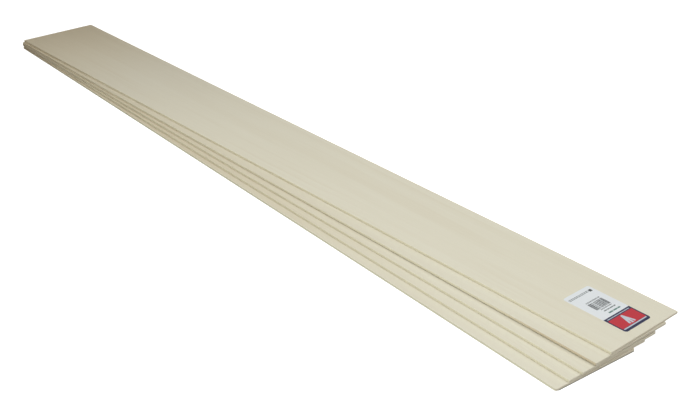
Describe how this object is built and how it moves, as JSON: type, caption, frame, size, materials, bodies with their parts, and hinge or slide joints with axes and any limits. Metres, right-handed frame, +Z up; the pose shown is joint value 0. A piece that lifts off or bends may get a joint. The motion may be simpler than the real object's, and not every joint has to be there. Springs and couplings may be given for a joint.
{
  "type": "stack of wood modelling sheets",
  "caption": "Fanned stack of thin, straight-grained wood sheets for model making, each free to turn flat on the one below, with a printed paper stock label on the top sheet.",
  "frame": {"origin": "middle of the bottom sheet's underside, which rests on the surface at Z = 0", "axes": "+X along the grain of the bottom sheet towards the labelled end, +Y the way the fan opens at that end, +Z up through the stack"},
  "size_m": [0.9203, 0.17, 0.0122],
  "materials": {
    "sheet_wood": "matte",
    "label_paper": "satin"
  },
  "bodies": {
    "bottom_sheet": {"bottom_sheet": "sheet_wood"},
    "second_sheet": {"second_sheet": "sheet_wood"},
    "third_sheet": {"third_sheet": "sheet_wood"},
    "fourth_sheet": {"fourth_sheet": "sheet_wood"},
    "top_sheet": {"top_sheet": "sheet_wood", "stock_label": "label_paper"}
  },
  "joints": [
    {"name": "second_sheet_fan", "type": "hinge", "parent": "bottom_sheet", "child": "second_sheet", "pos_m": [-0.437, -0.026, 0.00243], "axis": [0, 0, 1], "range_deg": [-0.98, 1.52]},
    {"name": "third_sheet_fan", "type": "hinge", "parent": "second_sheet", "child": "third_sheet", "pos_m": [-0.37126, 0.04813, 0.00486], "axis": [0, 0, 1], "range_deg": [-1.05, 1.45]},
    {"name": "fourth_sheet_fan", "type": "hinge", "parent": "third_sheet", "child": "fourth_sheet", "pos_m": [-0.41834, 0.02145, 0.00729], "axis": [0, 0, 1], "range_deg": [-0.98, 1.52]},
    {"name": "top_sheet_fan", "type": "hinge", "parent": "fourth_sheet", "child": "top_sheet", "pos_m": [-0.5643, -0.0403, 0.00972], "axis": [0, 0, 1], "range_deg": [-1.16, 1.34]}
  ]
}
